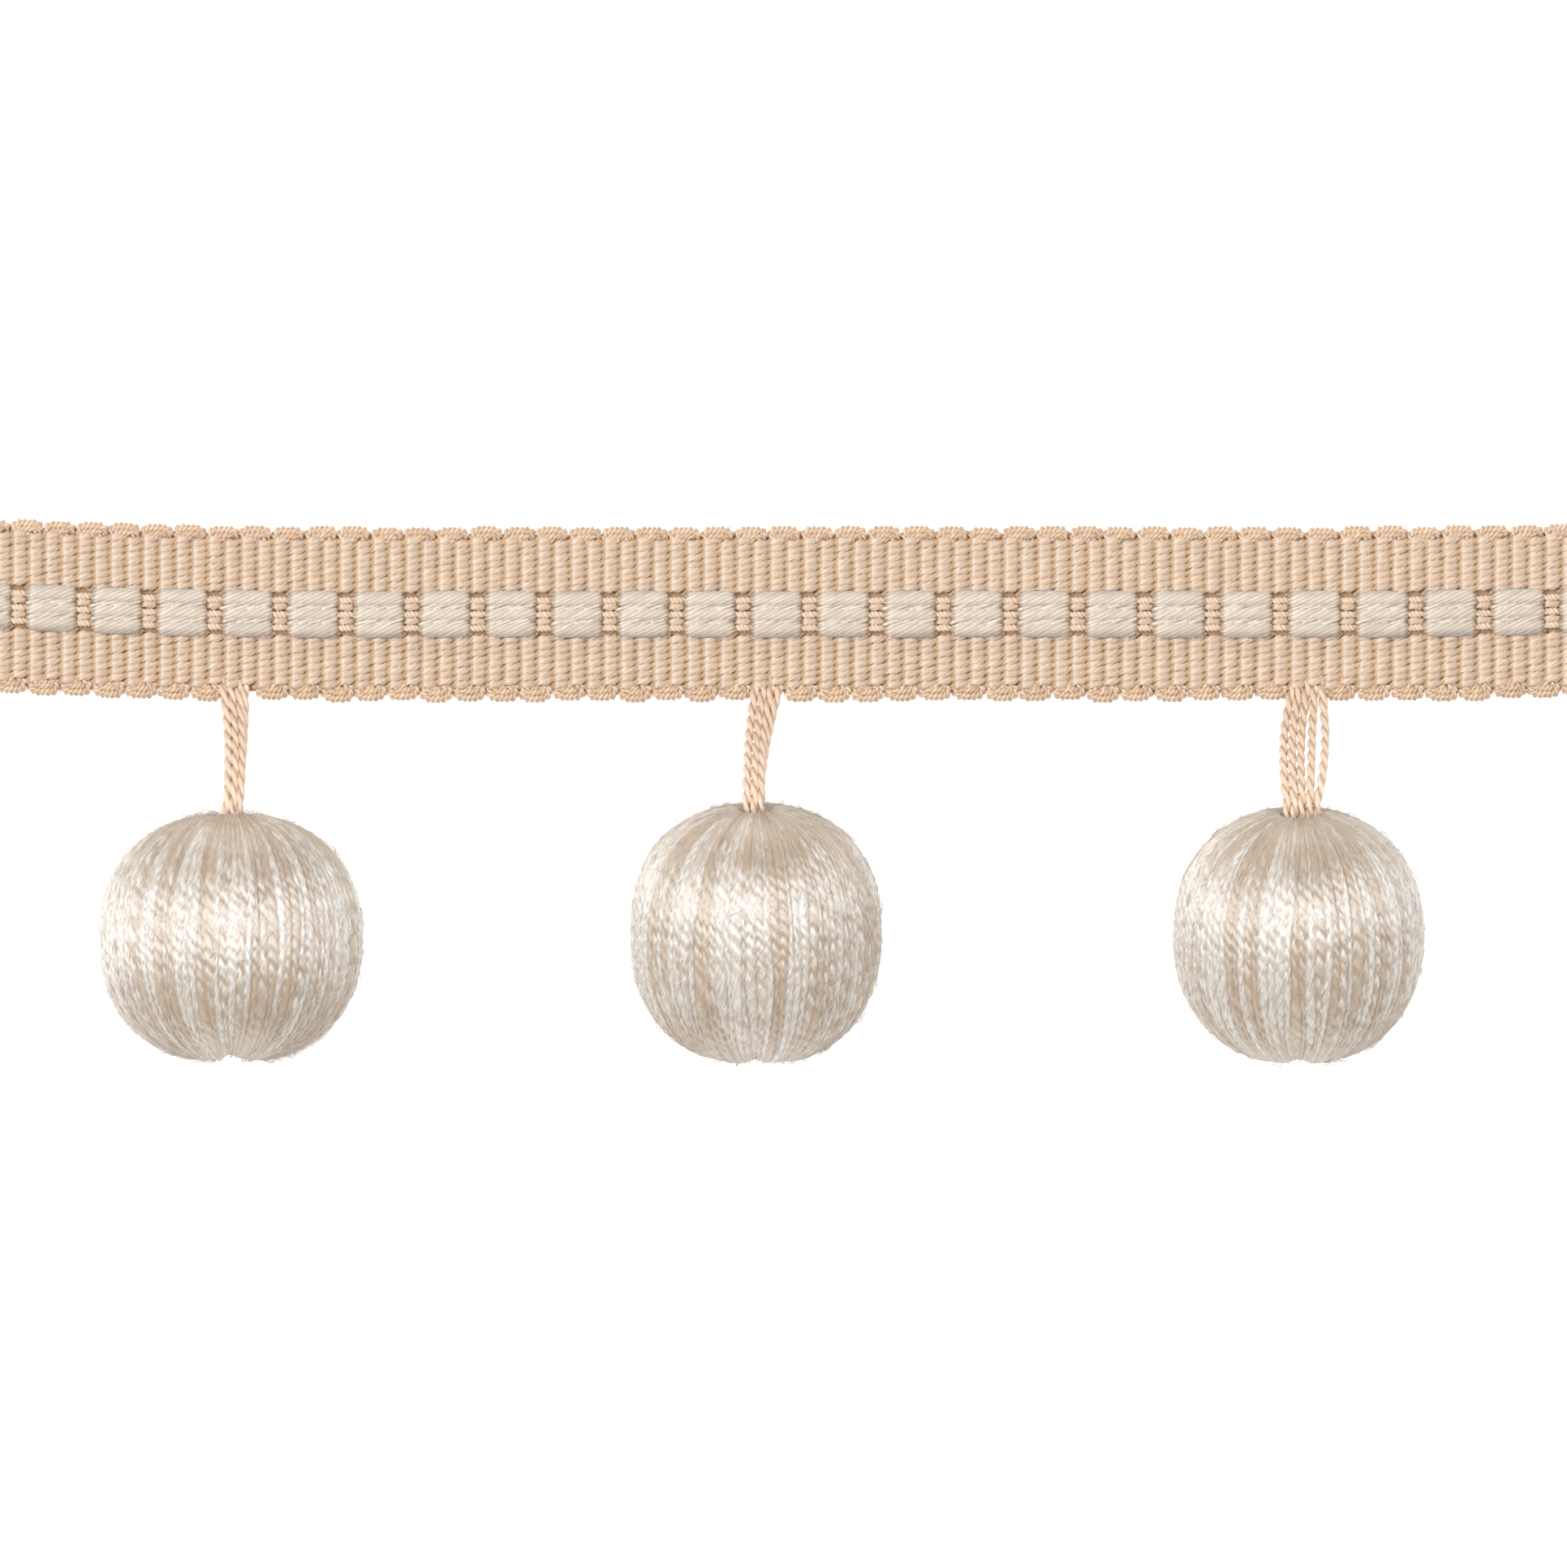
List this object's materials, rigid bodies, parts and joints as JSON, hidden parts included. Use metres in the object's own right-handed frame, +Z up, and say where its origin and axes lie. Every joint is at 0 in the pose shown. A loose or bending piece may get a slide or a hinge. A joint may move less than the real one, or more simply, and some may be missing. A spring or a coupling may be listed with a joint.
{
  "type": "pompom fringe trim",
  "caption": "Cut length of woven ribbed heading with picot edges and cream inlay squares, with yarn-wound balls hung from cord loops along its lower edge.",
  "frame": {"origin": "middle of the trim's bounding box, on the surface it lies on", "axes": "+X along the heading, +Y from the balls to the heading, +Z up from the surface, towards the trim's face"},
  "size_m": [0.189, 0.0624, 0.03],
  "materials": {
    "heading_beige": "satin",
    "inlay_cream": "satin",
    "hanger_cord": "satin",
    "ball_yarn": "satin"
  },
  "bodies": {
    "root": {"heading": "heading_beige", "hanger_1": "hanger_cord", "hanger_2": "hanger_cord", "hanger_3": "hanger_cord", "ball_1": "ball_yarn", "ball_2": "ball_yarn", "ball_3": "ball_yarn"}
  },
  "joints": []
}
